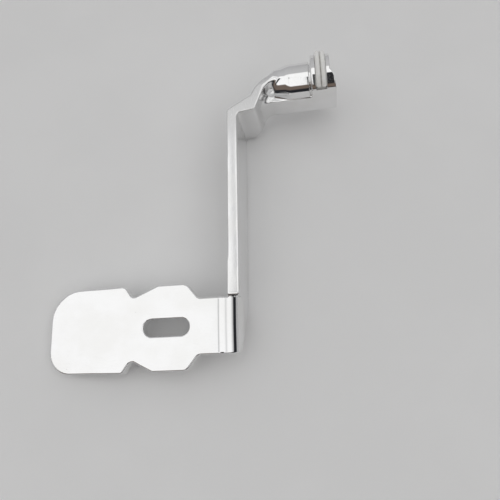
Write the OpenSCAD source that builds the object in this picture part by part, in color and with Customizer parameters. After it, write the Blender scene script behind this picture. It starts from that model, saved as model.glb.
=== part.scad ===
// Rear brake pedal of a touring motorcycle, for the right foot.
// One chrome-plated steel piece: a pad plate with a stud slot, a neck bent down into a deep arm on edge,
// a double bend, and a pivot hub. The hub holds two bronze bushes, two sealing rings and a nylon ring.
// Origin: on the pivot axis, half way along the barrel. X runs inboard along the pivot axis,
// Y runs rearward and Z upward. All lengths are millimetres.

/* [Pad plate] */
// Width of the toe, the part that the foot presses
pad_w = 76; // [66:1:84]
// Length from the toe's end to its step before the notch
toe_l = 70; // [60:1:80]
// How much the toe narrows on each side towards its end
toe_taper = 1.2; // [0.4:0.1:2.4]
// Corner radius of the toe's end, rear side
toe_rear_r = 28; // [20:1:32]
// Corner radius of the toe's end, front side
toe_front_r = 20; // [14:1:26]
// Width left between the two notches
notch_w = 54.5; // [50:0.5:60]
// Width of the wide middle part round the slot
middle_w = 74.6; // [68:0.2:78]
// Width of the neck that runs into the bend
neck_w = 48.7; // [44:0.1:52]
// Length of the slope from the toe's step into each notch
step_run = 7.5; // [5:0.5:10]
// How much nearer the toe's end the front step lies
front_shift = 1; // [0:0.5:3]
// Length of the rear notch's slope up to the middle part
rear_notch_run = 23.5; // [15:0.5:28]
// Length of the front notch's slope up to the middle part
front_notch_run = 19.5; // [15:0.5:28]
// Distance from the toe's step to the end of the middle part
middle_end_l = 56; // [50:1:60]
// Length of the slope from the middle part down to the neck
neck_run = 10.5; // [8:0.5:14]
// Radius of the outline's small corners
corner_r = 4.5; // [2:0.5:6]
// Radius of the middle part's corners next to the neck
middle_end_r = 8; // [4:1:10]
// Length of the plate from the toe's end to the start of the bend
plate_l = 153.7; // [150:0.1:170]
// Thickness of the plate and of the bend
plate_t = 10.5; // [8:0.1:11]
// Bevel along the plate's upper and lower edges
edge_bevel = 0.8; // [0.3:0.1:1.2]

/* [Stud slot] */
// Length of the slot, end to end
slot_l = 41.4; // [34:0.2:46]
// Width of the slot
slot_w = 15.1; // [10:0.1:17]
// Distance of the slot's middle from the toe's end
slot_u = 108.8; // [104:0.2:112]

/* [Arm] */
// Distance from the pivot axis forward to the pad's middle line
reach = 232.4; // [215:0.2:260]
// Height of the pad's top over the pivot axis
rise = 20; // [19:0.5:24]
// Distance from the hub's middle outboard to the arm's inner face at the pad
arm_offset = 66.3; // [64:0.1:72]
// Lean of the arm inboard towards the hub, in degrees
arm_splay = 0.85; // [0.4:0.05:1.2]
// Thickness of the arm
arm_t = 9.5; // [8:0.1:10]
// Depth of the arm at the pad
arm_front_h = 47; // [40:0.5:54]
// Depth of the arm at the double bend
arm_rear_h = 57; // [48:0.5:60]
// Distance from the pad's middle line rearward to the end of the sloped lower corner
slope_run = 14; // [6:0.5:24]
// Radius where the sloped corner meets the arm's lower edge
slope_r = 24; // [10:1:40]
// Outside radius of the bend from neck to arm
bend_r = 20; // [18:0.5:24]
// Length of the thicker stretch of the arm next to the neck
thick_l = 29; // [20:1:40]
// Length over which the arm thins after it
thin_run = 7; // [4:1:14]
// Radius on the front end of the arm's top edge
top_end_r = 4; // [2:0.5:6]

/* [Double bend] */
// Distance from the pivot axis forward to the first bend's front face
first_bend_y = 35.3; // [33:0.1:40]
// How much the first leg's front face slants rearward over its length
first_slant = 1.9; // [0:0.1:4]
// Distance from the hub's middle outboard to the second bend's corner
second_bend_x = 46.4; // [46:0.1:49]
// Angle of the second leg from the pivot axis, in degrees
second_leg_a = 64.4; // [60:0.2:68]
// Length of the second leg's straight inner face
second_leg_l = 24; // [20:0.5:26]
// Inner corner radius of the bends
bend_fillet_r = 4; // [2:0.5:6]
// Outer corner radius of the bends
bend_corner_r = 3; // [1:0.5:5]
// Distance the bend's rear corner lies behind its front corner
rear_corner_y = 4; // [2:0.5:7]
// Angle of the first leg's rear face from the pivot axis, in degrees
rear_face_a = 30; // [22:1:36]
// Length of the first leg's rear face
rear_face_l = 26.3; // [24:0.1:28]
// Length of the second leg's straight rear face
rear_leg_l = 10; // [7:0.5:12]
// Angle at which the second leg's end turns into the barrel, in degrees
leg_end_a = 44; // [38:1:50]
// Length of that turned end
leg_end_l = 15.2; // [12:0.2:17]
// Angle of the leg's rear face where it runs out on the barrel, in degrees
leg_tip_a = 26; // [16:1:34]
// Length of that last face
leg_tip_l = 9.7; // [6:0.1:12]
// Distance in front of the pivot axis at which the leg's top starts to fall
leg_fall_y = 4; // [2:1:12]
// How far the leg's top falls below the barrel's top, at the barrel's rear
leg_fall = 8.2; // [5:0.1:10]
// Radius over which the leg's top rolls down to the barrel
leg_roll_r = 24; // [8:1:30]
// Distance from the pivot axis down to the second leg's lower edge
leg_drop = 28; // [24:0.5:32]
// Distance outboard of the second bend's corner at which the lower edge starts to rise
rise_run = 8; // [4:0.5:12]
// Radius of the fillet between the second leg and the front wall
wall_fillet_r = 7; // [4:0.5:10]
// Height of that fillet's top over the pivot axis
wall_fillet_z = 12; // [6:0.5:14]

/* [Pivot hub] */
// Diameter of the barrel
barrel_d = 36; // [34:0.2:38]
// Diameter of the barrel at the washer seat
barrel_seat_d = 29; // [26:0.2:30]
// Length over which the barrel narrows towards the washer seat
taper_l = 14; // [10:1:20]
// Distance from the hub's middle outboard to the washer seat
seat_x = 28; // [26:0.5:30]
// Diameter of the washer seat cut into the second leg
washer_seat_d = 25.6; // [24:0.2:26]
// Distance from the hub's middle inboard to the barrel's end
barrel_end_x = 6.3; // [4:0.1:9]
// Diameter of the two collars
collar_d = 47; // [43:0.5:50]
// Width of the outer collar
outer_collar_w = 4.8; // [3:0.2:7]
// Width of the inner collar
inner_collar_w = 3.8; // [3:0.2:7]
// Width of the relief between the barrel and the outer collar
relief_w = 1.5; // [1:0.1:2.5]
// Depth of the relief
relief_depth = 1.2; // [0.6:0.1:2]
// Bevel on the outer collar and the barrel's end
hub_bevel = 1.4; // [0.6:0.1:2]
// Small bevel on the hub's other corners
hub_edge = 0.6; // [0.3:0.1:1]
// How far the front wall stands in front of the barrel
wall_front = 0.8; // [0.5:0.1:2.5]
// How far the front wall stands inboard of the inner collar
wall_step = 5; // [3:0.2:8]
// How far the wall's inboard end leans back outboard over its thickness
wall_lean = 1.5; // [0.5:0.1:2]
// Distance in front of the pivot axis at which the wall starts to stand inboard
wall_spread = 3; // [1:0.5:6]
// Distance from the pivot axis down to the front wall's lower edge
wall_drop = 22.8; // [20:0.1:25]
// Thickness of the front wall
wall_t = 10.5; // [7:0.5:11]
// Height of the low part of the front wall over the pivot axis
low_wall_z = 2; // [0:0.5:4]

/* [Bearings and seals] */
// Diameter of the pivot shaft
shaft_d = 16; // [14:0.1:17]
// Running clearance of the shaft in the bushes, on the radius
shaft_gap = 0.05; // [0.02:0.01:0.1]
// Wall thickness of each bush
bush_wall = 2; // [1.5:0.1:2.4]
// Length of each bush
bush_l = 18; // [14:0.5:20]
// Bevel on the ends of each bush
bush_bevel = 0.4; // [0.2:0.1:0.6]
// Gap left round a pressed bush, on the radius
press_gap = 0.01; // [0.005:0.005:0.03]
// Thickness of the sealing rings
seal_t = 2.6; // [2:0.1:3]
// Depth of the grease groove in each bush
grease_depth = 0.6; // [0.3:0.1:0.9]
// Half width of the grease groove
grease_half_w = 1.5; // [1:0.1:3]
// How much wider the hub is bored between the bushes, on the radius
chamber_depth = 0.6; // [0.4:0.1:1.5]
// Gap between a sealing ring and its pocket
seal_gap = 0.1; // [0.05:0.05:0.3]

/* [Nylon ring] */
// Width of the nylon ring
ring_w = 9.5; // [7:0.1:12]
// Outer diameter of the nylon ring
ring_d = 54; // [50:0.5:58]
// Depth of the ring's groove below the collars
groove_depth = 2.4; // [1.5:0.1:3]
// Gap between the ring and its groove
ring_gap = 0.1; // [0.05:0.05:0.2]
// Angle from the top forward to the ring's front end, in degrees
ring_front_a = 49; // [40:1:49]
// Angle from the top rearward to the ring's lower end, in degrees
ring_rear_a = 190; // [150:1:194]

/* [Brake rod eye] */
// Diameter of the hole for the brake rod's pin
rod_pin_d = 8.2; // [6:0.1:10]
// Distance from the pivot axis down to the hole
rod_drop = 32; // [32:0.5:36]
// Thickness of the eye
eye_t = 8.5; // [6:0.1:8.6]
// Wall of the eye round its hole
eye_wall = 5; // [4:0.5:6]

/* [Hidden] */

round_fn = 96;
section_fn = 32;
arc_steps = 10;
past = 1;
cut_far = 600;

top_z = rise;
plate_z = top_z - plate_t;
toe_x = -(arm_offset + plate_l + bend_r);
bend_x = toe_x + plate_l;
pad_y = -reach;
neck_rear_y = pad_y + neck_w / 2;
neck_front_y = pad_y - neck_w / 2;
under_bend_z = top_z - bend_r + past;
arm_front_z = top_z - arm_front_h;
arm_rear_z = top_z - arm_rear_h;
slope_end_y = pad_y + slope_run;
slope_rate = (arm_front_z - plate_z) / (slope_end_y - neck_front_y);

barrel_r = barrel_d / 2;
barrel_seat_r = barrel_seat_d / 2;
collar_r = collar_d / 2;
collar_x = barrel_end_x + relief_w;
groove_x = collar_x + outer_collar_w;
groove_end_x = groove_x + ring_w + 2 * ring_gap;
hub_end_x = groove_end_x + inner_collar_w;
wall_end_x = hub_end_x + wall_step;
groove_r = collar_r - groove_depth;
front_y = -barrel_r - wall_front;
wall_top_z = sqrt(collar_r * collar_r - front_y * front_y);
leg_end_z = barrel_r - leg_fall;

bore_r = shaft_d / 2 + shaft_gap;
hub_bore_r = bore_r + bush_wall;
bush_r = hub_bore_r - press_gap;
seal_pocket_w = seal_t + 2 * seal_gap;
seal_pocket_r = bore_r + seal_t + seal_gap;
chamber_r = hub_bore_r + chamber_depth;
outer_bush_x = -seat_x + seal_pocket_w;
inner_bush_x = hub_end_x - seal_pocket_w - bush_l;

leg = [cos(second_leg_a), sin(second_leg_a)];
first_corner = [face_x(-first_bend_y), -first_bend_y];
second_corner = [-second_bend_x, first_slant - first_bend_y];
wall_corner = second_corner + leg * (front_y - second_corner[1]) / leg[1];
leg_end = [cos(leg_end_a), sin(leg_end_a)];
rear_corner = first_corner + [-arm_t, rear_corner_y];
rear_bend = rear_corner + rear_face_l * [cos(rear_face_a), sin(rear_face_a)];
rear_turn = rear_bend + rear_leg_l * leg;
rear_end = rear_turn + leg_end_l * leg_end;
rear_tip = rear_end + leg_tip_l * [cos(leg_tip_a), sin(leg_tip_a)];
inner_turn = second_corner + second_leg_l * leg;
inner_end = inner_turn + leg_end_l * leg_end;

// X of the arm's inner face at a given Y
function face_x(y) = -arm_offset + (y + reach) * tan(arm_splay);

// Y at which the arm's sloped lower corner reaches a given height
function slope_y(z) = neck_front_y + (z - plate_z) / slope_rate;

// Points of an arc from angle a0 to a1 about c
function arc(c, r, a0, a1) =
    [for (i = [0:arc_steps]) let (a = a0 + (a1 - a0) * i / arc_steps) c + r * [cos(a), sin(a)]];

function unit(v) = v / norm(v);
function cross_z(a, b) = a[0] * b[1] - a[1] * b[0];

// One corner of an outline, rounded to radius p[2]; a and b are its neighbours
function corner(a, p, b) =
    let (
        q = [p[0], p[1]],
        u = unit([a[0], a[1]] - q),
        v = unit([b[0], b[1]] - q),
        half = acos(max(-1, min(1, u * v))) / 2,
        run = p[2] / tan(half),
        centre = q + unit(u + v) * p[2] / sin(half),
        t0 = q + u * run - centre,
        t1 = q + v * run - centre,
        a0 = atan2(t0[1], t0[0]),
        turn = atan2(cross_z(t0, t1), t0 * t1)
    )
    p[2] == 0 ? [q] : arc(centre, p[2], a0, a0 + turn);

// Outline through points [x, y, radius], each corner rounded
function outline(pts) =
    let (n = len(pts))
    [for (i = [0:n - 1]) each corner(pts[(i + n - 1) % n], pts[i], pts[(i + 1) % n])];

// Outline of the pad plate, toe end at u = 0, shrunk by s on every side
function pad_points(s) =
    let (
        toe = pad_w / 2 - s,
        end = pad_w / 2 - toe_taper - s,
        notch = notch_w / 2 - s,
        middle = middle_w / 2 - s,
        neck = neck_w / 2 - s,
        rear_u = toe_l + step_run,
        front_u = rear_u - front_shift,
        middle_u = toe_l + middle_end_l
    )
    outline([
        [s, end, toe_rear_r],
        [toe_l - s, toe, corner_r],
        [rear_u, notch, corner_r],
        [rear_u + rear_notch_run, middle, corner_r],
        [middle_u - s, middle, middle_end_r],
        [middle_u + neck_run, neck, corner_r],
        [plate_l + past, neck, 0],
        [plate_l + past, -neck, 0],
        [middle_u + neck_run, -neck, corner_r],
        [middle_u - s, -middle, middle_end_r],
        [front_u + front_notch_run, -middle, corner_r],
        [front_u, -notch, corner_r],
        [toe_l - front_shift - s, -toe, corner_r],
        [s, -end, toe_front_r]
    ]);

// Plate with a bevelled edge, made of a full core and two slightly smaller skins
module pad_plate() {
    translate([toe_x, pad_y, plate_z]) {
        translate([0, 0, edge_bevel])
            linear_extrude(plate_t - 2 * edge_bevel) polygon(pad_points(0));
        linear_extrude(plate_t) polygon(pad_points(edge_bevel / 2));
    }
}

// The stud slot goes right through the plate
module stud_slot() {
    half_run = (slot_l - slot_w) / 2;
    translate([toe_x + slot_u, pad_y, plate_z - past]) {
        for (side = [-1, 1])
            translate([side * half_run, 0, 0])
                cylinder(d = slot_w, h = plate_t + 2 * past, $fn = round_fn);
        translate([-half_run, -slot_w / 2, 0])
            cube([2 * half_run, slot_w, plate_t + 2 * past]);
    }
}

// Quarter bend from the neck down into the arm
module neck_bend() {
    translate([bend_x, neck_rear_y, top_z - bend_r])
        rotate([90, 0, 0])
            intersection() {
                difference() {
                    cylinder(r = bend_r, h = neck_w, $fn = round_fn);
                    translate([0, 0, -past])
                        cylinder(r = bend_r - plate_t, h = neck_w + 2 * past, $fn = round_fn);
                }
                translate([-past / 10, -past / 10, -past])
                    cube([bend_r + past, bend_r + past, neck_w + 2 * past]);
            }
}

// Side view of the arm, seen along the pivot axis: x is Y and y is Z
module arm_side() {
    polygon(outline([
        [neck_rear_y, top_z, top_end_r],
        [neck_rear_y, under_bend_z, 0],
        [slope_y(under_bend_z), under_bend_z, 0],
        [slope_end_y, arm_front_z, slope_r],
        [-first_bend_y, arm_rear_z, 0],
        [barrel_r, arm_rear_z, 0],
        [barrel_r, leg_end_z, 0],
        [-leg_fall_y, top_z, leg_roll_r]
    ]));
}

// Side view of what the bend may fill, above the sloped lower corner
module bend_side() {
    polygon([
        [neck_front_y, top_z],
        [neck_front_y, plate_z],
        [slope_end_y, arm_front_z],
        [neck_rear_y, arm_front_z],
        [neck_rear_y, top_z]
    ]);
}

// Carries a side view along the pivot axis, over the whole width of the pedal
module across() {
    rotate([90, 0, 90])
        translate([0, 0, -cut_far / 2])
            linear_extrude(cut_far) children();
}

// Carries a plan over the whole height of the pedal
module upright() {
    translate([0, 0, -cut_far / 2])
        linear_extrude(cut_far) children();
}

// Front view of the double bend: its lower edge rises from the arm to the front wall
module bend_front() {
    rise_x = -second_bend_x - rise_run;
    polygon([
        [-cut_far, top_z + past],
        [-cut_far, arm_rear_z - past],
        [rise_x, arm_rear_z - past],
        [-second_bend_x, -leg_drop],
        [wall_corner[0], -leg_drop],
        [wall_corner[0] + 2 * wall_fillet_r, -wall_drop],
        [wall_end_x, -wall_drop],
        [wall_end_x, top_z + past]
    ]);
}

// Carries a front view over the whole length of the pedal
module facing() {
    translate([0, cut_far / 2, 0])
        rotate([90, 0, 0])
            linear_extrude(cut_far) children();
}

// Plan of the arm and the double bend
module arm_plan() {
    thick_y = neck_rear_y + thick_l;
    polygon(outline([
        [face_x(neck_front_y), neck_front_y, 0],
        [first_corner[0], first_corner[1], bend_fillet_r],
        [second_corner[0], second_corner[1], bend_corner_r],
        [inner_turn[0], inner_turn[1], bend_fillet_r],
        [inner_end[0], inner_end[1], 0],
        [rear_tip[0], rear_tip[1], 0],
        [rear_end[0], rear_end[1], bend_fillet_r],
        [rear_turn[0], rear_turn[1], bend_fillet_r],
        [rear_bend[0], rear_bend[1], bend_fillet_r],
        [rear_corner[0], rear_corner[1], bend_corner_r],
        [face_x(thick_y) - arm_t, thick_y + thin_run, thin_run],
        [face_x(thick_y) - plate_t, thick_y, thin_run],
        [face_x(neck_rear_y) - plate_t, neck_rear_y, 0],
        [face_x(neck_rear_y) - plate_t, neck_front_y, 0]
    ]));
}

// The arm on edge, with its sloped lower corner in front and the double bend at its rear
module arm_on_edge() {
    intersection() {
        upright() arm_plan();
        across() arm_side();
        facing() bend_front();
    }
}

// Barrel and collars, turned about the pivot axis
module hub_turned() {
    relief_r = barrel_r - relief_depth;
    rotate([0, 90, 0])
        rotate_extrude($fn = round_fn)
            polygon([
                [0, -seat_x],
                [barrel_seat_r - hub_edge, -seat_x],
                [barrel_seat_r, -seat_x + hub_edge],
                [barrel_r, -seat_x + taper_l],
                [barrel_r, barrel_end_x - hub_edge],
                [barrel_r - hub_edge, barrel_end_x],
                [relief_r, barrel_end_x],
                [relief_r, collar_x],
                [collar_r - hub_bevel, collar_x],
                [collar_r, collar_x + hub_bevel],
                [collar_r, groove_x],
                [groove_r, groove_x],
                [groove_r, groove_end_x],
                [collar_r, groove_end_x],
                [collar_r, hub_end_x - hub_edge],
                [collar_r - hub_edge, hub_end_x],
                [0, hub_end_x]
            ]);
}

// The front of the collars is cut off flat, in line with the front wall
module collar_flat() {
    translate([0, front_y - cut_far, -cut_far / 2])
        cube([cut_far, cut_far, cut_far]);
}

// Upright wall in front of the hub: low beside the barrel, high beside the collars
module front_wall() {
    translate([wall_corner[0], front_y, -wall_drop])
        cube([collar_x + past - wall_corner[0], wall_t, wall_drop + low_wall_z]);
    translate([collar_x, front_y, -wall_drop])
        cube([hub_end_x - collar_x, wall_t, wall_drop + wall_top_z]);
}

// Plan of the wall's inboard end, which spreads from the inner collar to its full step; shrunk by s
function wall_end_points(s) = [
    [hub_end_x - past, front_y],
    [wall_end_x - s, front_y],
    [wall_end_x - wall_lean - s, front_y + wall_t],
    [hub_end_x - s, -wall_spread],
    [hub_end_x - past, -wall_spread]
];

// The wall's inboard end keeps the collars' round top, with a bevel along its edge
module wall_end() {
    for (s = [0, hub_edge])
        intersection() {
            translate([0, 0, -wall_drop])
                linear_extrude(wall_drop + collar_r) polygon(wall_end_points(s));
            union() {
                rotate([0, 90, 0])
                    cylinder(r = collar_r - hub_edge + s, h = wall_end_x, $fn = round_fn);
                translate([0, front_y - past, -wall_drop])
                    cube([wall_end_x, wall_t + 2 * past, wall_drop]);
            }
        }
}

// Eye for the brake rod, under the inboard end of the hub
module rod_eye() {
    eye_r = rod_pin_d / 2 + eye_wall;
    eye_top = -front_y - wall_t;
    translate([wall_end_x - eye_t, 0, 0])
        rotate([0, 90, 0])
            linear_extrude(eye_t)
                difference() {
                    union() {
                        translate([rod_drop, 0]) circle(r = eye_r, $fn = round_fn);
                        translate([eye_top, -eye_r]) square([rod_drop - eye_top, 2 * eye_r]);
                    }
                    translate([rod_drop, 0]) circle(d = rod_pin_d, $fn = round_fn);
                }
}

// Fillet in the corner where the second leg meets the front wall
module wall_fillet() {
    run = wall_fillet_r * tan(second_leg_a / 2);
    centre = wall_corner + [run, -wall_fillet_r];
    intersection() {
        translate([0, 0, -leg_drop])
            linear_extrude(leg_drop + wall_fillet_z)
                difference() {
                    polygon([
                        wall_corner + [-past, past],
                        wall_corner - leg * run,
                        wall_corner + [run, 0],
                        wall_corner + [run, past]
                    ]);
                    translate(centre) circle(r = wall_fillet_r, $fn = round_fn);
                }
        facing() bend_front();
    }
}

// Bore with its seal pockets, the grease chamber and the washer seat outboard
module pivot_bore() {
    seat_end_x = -second_bend_x - arm_t;
    rotate([0, 90, 0])
        rotate_extrude($fn = round_fn)
            polygon([
                [0, seat_end_x],
                [washer_seat_d / 2, seat_end_x],
                [washer_seat_d / 2, -seat_x],
                [seal_pocket_r, -seat_x],
                [seal_pocket_r, outer_bush_x],
                [hub_bore_r, outer_bush_x],
                [hub_bore_r, outer_bush_x + bush_l],
                [chamber_r, outer_bush_x + bush_l],
                [chamber_r, inner_bush_x],
                [hub_bore_r, inner_bush_x],
                [hub_bore_r, inner_bush_x + bush_l],
                [seal_pocket_r, inner_bush_x + bush_l],
                [seal_pocket_r, wall_end_x + past],
                [0, wall_end_x + past]
            ]);
}

// The whole chrome-plated piece
module pedal_arm() {
    color("gainsboro")
        difference() {
            union() {
                pad_plate();
                intersection() {
                    neck_bend();
                    across() bend_side();
                }
                arm_on_edge();
                difference() {
                    hub_turned();
                    collar_flat();
                }
                front_wall();
                wall_end();
                wall_fillet();
                rod_eye();
            }
            stud_slot();
            pivot_bore();
        }
}

// Pressed bronze bush with a grease groove round its middle
module bush(from_x) {
    middle = bush_l / 2;
    groove_r = bore_r + grease_depth;
    floor_half_w = grease_half_w - grease_depth;
    translate([from_x, 0, 0])
        rotate([0, 90, 0])
            rotate_extrude($fn = round_fn)
                polygon([
                    [bore_r, bush_bevel],
                    [bore_r + bush_bevel, 0],
                    [bush_r - bush_bevel, 0],
                    [bush_r, bush_bevel],
                    [bush_r, bush_l - bush_bevel],
                    [bush_r - bush_bevel, bush_l],
                    [bore_r + bush_bevel, bush_l],
                    [bore_r, bush_l - bush_bevel],
                    [bore_r, middle + grease_half_w],
                    [groove_r, middle + floor_half_w],
                    [groove_r, middle - floor_half_w],
                    [bore_r, middle - grease_half_w]
                ]);
}

module outboard_bush() {
    color("darkgoldenrod") bush(outer_bush_x);
}

module inboard_bush() {
    color("darkgoldenrod") bush(inner_bush_x);
}

// Round-section sealing ring, its middle at x
module sealing_ring(x) {
    translate([x, 0, 0])
        rotate([0, 90, 0])
            rotate_extrude($fn = round_fn)
                translate([bore_r + seal_t / 2, 0]) circle(d = seal_t, $fn = section_fn);
}

module outboard_seal() {
    color("dimgray") sealing_ring(-seat_x + seal_pocket_w / 2);
}

module inboard_seal() {
    color("dimgray") sealing_ring(hub_end_x - seal_pocket_w / 2);
}

// Open nylon ring with two rounded ribs, snapped into the groove between the collars
module nylon_ring() {
    inner_r = groove_r + ring_gap;
    rib_r = ring_w / 4;
    rib_centre = ring_d / 2 - rib_r;
    color("whitesmoke")
        difference() {
            translate([groove_x + ring_gap, 0, 0])
                rotate([0, 90, 0])
                    rotate([0, 0, 180 - ring_rear_a])
                        rotate_extrude(angle = ring_front_a + ring_rear_a, $fn = round_fn) {
                            translate([inner_r, 0])
                                square([rib_centre - inner_r, ring_w]);
                            for (rib = [rib_r, ring_w - rib_r])
                                translate([rib_centre, rib]) circle(r = rib_r, $fn = section_fn);
                        }
            translate([collar_x, front_y - ring_gap, -wall_drop - ring_gap])
                cube([wall_end_x - collar_x, wall_t + 2 * ring_gap, wall_drop + wall_top_z + 2 * ring_gap]);
        }
}

pedal_arm();
outboard_bush();
inboard_bush();
outboard_seal();
inboard_seal();
nylon_ring();
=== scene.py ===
import math

import bmesh
import bpy
import numpy as np
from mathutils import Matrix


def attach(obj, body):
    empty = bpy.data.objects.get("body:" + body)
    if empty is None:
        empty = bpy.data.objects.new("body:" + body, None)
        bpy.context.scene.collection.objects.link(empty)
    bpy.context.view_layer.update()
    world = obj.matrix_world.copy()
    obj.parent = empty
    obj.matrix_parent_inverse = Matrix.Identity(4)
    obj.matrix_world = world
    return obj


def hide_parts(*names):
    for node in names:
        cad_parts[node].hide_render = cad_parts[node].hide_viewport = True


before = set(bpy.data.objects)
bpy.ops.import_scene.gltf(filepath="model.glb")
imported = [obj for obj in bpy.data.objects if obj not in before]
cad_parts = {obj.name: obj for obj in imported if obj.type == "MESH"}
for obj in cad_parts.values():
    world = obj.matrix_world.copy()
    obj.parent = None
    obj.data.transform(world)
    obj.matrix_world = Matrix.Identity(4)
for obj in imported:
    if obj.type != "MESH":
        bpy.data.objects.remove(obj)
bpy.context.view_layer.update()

MM = 0.001

# Pad plate, lengths in millimetres and named as in the part's source
PAD_W = 76.0
TOE_L = 70.0
TOE_TAPER = 1.2
TOE_REAR_R = 28.0
TOE_FRONT_R = 20.0
NOTCH_W = 54.5
MIDDLE_W = 74.6
NECK_W = 48.7
STEP_RUN = 7.5
FRONT_SHIFT = 1.0
REAR_NOTCH_RUN = 23.5
FRONT_NOTCH_RUN = 19.5
MIDDLE_END_L = 57.2
NECK_RUN = 10.5
CORNER_R = 4.5
MIDDLE_END_R = 8.0
PLATE_L = 154.4
PLATE_T = 10.5
SLOT_L = 41.4
SLOT_W = 15.1
SLOT_U = 108.8

# Arm
REACH = 232.4
TOP_Z = 20.0
ARM_OFFSET = 66.3
ARM_SPLAY = math.radians(0.85)
ARM_T = 9.5
ARM_FRONT_H = 47.0
ARM_REAR_H = 57.0
SLOPE_RUN = 14.0
SLOPE_R = 24.0
BEND_R = 19.3
THICK_L = 29.0
THIN_RUN = 7.0
TOP_END_R = 2.8

# Double bend
FIRST_BEND_Y = 35.3
FIRST_SLANT = 1.9
SECOND_BEND_X = 46.4
SECOND_LEG_A = math.radians(64.4)
SECOND_LEG_L = 24.0
BEND_FILLET_R = 4.0
BEND_CORNER_R = 3.0
REAR_CORNER_Y = 4.0
REAR_FACE_A = math.radians(30)
REAR_FACE_L = 26.3
REAR_LEG_L = 10.0
LEG_END_A = math.radians(44)
LEG_END_L = 15.2
LEG_TIP_A = math.radians(26)
LEG_TIP_L = 9.7
LEG_FALL_Y = 4.0
LEG_FALL = 8.2
LEG_ROLL_R = 24.0
LEG_DROP = 28.0
RISE_RUN = 8.0
WALL_FILLET_R = 7.0

# Pivot hub
BARREL_R = 18.0
BARREL_SEAT_R = 14.5
TAPER_L = 14.0
SEAT_X = 28.0
WASHER_SEAT_R = 12.8
BARREL_END_X = 6.3
COLLAR_R = 23.5
OUTER_COLLAR_W = 4.8
INNER_COLLAR_W = 3.8
RELIEF_W = 1.5
RELIEF_DEPTH = 1.2
WALL_FRONT = 0.8
WALL_STEP = 5.0
WALL_LEAN = 1.5
WALL_SPREAD = 3.0
WALL_DROP = 22.8
WALL_T = 10.5
LOW_WALL_Z = 2.0

# Bearings, seals, ring and rod eye
BORE_R = 8.05
BUSH_WALL = 2.0
BUSH_L = 18.0
SEAL_T = 2.6
SEAL_GAP = 0.1
CHAMBER_DEPTH = 0.6
RING_W = 9.5
RING_R = 26.99
GROOVE_DEPTH = 2.4
RING_GAP = 0.1
RING_FRONT_A = math.radians(48)
RING_REAR_A = math.radians(189)
ROD_HOLE_R = 4.1
ROD_DROP = 32.0
EYE_T = 8.5
EYE_WALL = 4.97

# Roundings that polishing leaves on the edges, and fillets of the forging
PLATE_EDGE_R = 1.5
ARM_EDGE_R = 1.0
LEG_EDGE_R = 3.2
HUB_EDGE_R = 0.9
LEG_BLEND_R = 7.0
LEDGE_BLEND_R = 0.5
EYE_BLEND_R = 1.0
TAPER_BLEND_R = 20.0
RISE_BLEND_R = 4.0
COLLAR_EDGE_R = 1.6
GROOVE_EDGE_R = 0.5
RELIEF_EDGE_R = 0.4
WALL_END_R = 8.0
SLOT_EDGE_R = 1.1
BORE_EDGE_R = 0.3
ROD_HOLE_EDGE_R = 0.5

# How far the neck reaches onto the plate, and the root to each side of the neck's rear edge
NECK_REACH = 30.0
ROOT_REACH = 3.0

# Stretch of Y in which the arm's edges grow as round as the leg's
LEG_EDGE_Y = (-30, -5)

# Outlines run this far into what they join, or past what they cut
OVERLAP = 2.0
PAST = 5.0

plate_z = TOP_Z - PLATE_T
toe_x = -(ARM_OFFSET + PLATE_L + BEND_R)
bend_x = toe_x + PLATE_L
pad_y = -REACH
neck_rear_y = pad_y + NECK_W / 2
neck_front_y = pad_y - NECK_W / 2
arm_front_z = TOP_Z - ARM_FRONT_H
arm_rear_z = TOP_Z - ARM_REAR_H
slope_end_y = pad_y + SLOPE_RUN
slope_rate = (arm_front_z - plate_z) / (slope_end_y - neck_front_y)
collar_x = BARREL_END_X + RELIEF_W
groove_x = collar_x + OUTER_COLLAR_W
groove_end_x = groove_x + RING_W + 2 * RING_GAP
hub_end_x = groove_end_x + INNER_COLLAR_W
wall_end_x = hub_end_x + WALL_STEP
groove_r = COLLAR_R - GROOVE_DEPTH
front_y = -BARREL_R - WALL_FRONT
wall_top_z = math.sqrt(COLLAR_R**2 - front_y**2)
hub_bore_r = BORE_R + BUSH_WALL
seal_pocket_w = SEAL_T + 2 * SEAL_GAP
seal_pocket_r = BORE_R + SEAL_T + SEAL_GAP
outer_bush_x = -SEAT_X + seal_pocket_w
inner_bush_x = hub_end_x - seal_pocket_w - BUSH_L
eye_r = ROD_HOLE_R + EYE_WALL


def towards(angle):
    """Unit vector in the plan at an angle from the pivot axis."""
    return np.array([math.cos(angle), math.sin(angle)])


def face_x(y):
    """X of the arm's inner face at y: a line that leans inboard by the splay angle."""
    return -ARM_OFFSET + (y + REACH) * math.tan(ARM_SPLAY)


first_corner = np.array([face_x(-FIRST_BEND_Y), -FIRST_BEND_Y])
second_corner = np.array([-SECOND_BEND_X, FIRST_SLANT - FIRST_BEND_Y])
leg = towards(SECOND_LEG_A)
wall_corner = second_corner + leg * (front_y - second_corner[1]) / leg[1]
rear_corner = first_corner + np.array([-ARM_T, REAR_CORNER_Y])
rear_bend = rear_corner + REAR_FACE_L * towards(REAR_FACE_A)
rear_turn = rear_bend + REAR_LEG_L * leg
rear_end = rear_turn + LEG_END_L * towards(LEG_END_A)
rear_tip = rear_end + LEG_TIP_L * towards(LEG_TIP_A)
inner_turn = second_corner + SECOND_LEG_L * leg
inner_end = inner_turn + LEG_END_L * towards(LEG_END_A)


# Outlines: straight sides and true arcs, so that the polish on a curve has no facets


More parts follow.
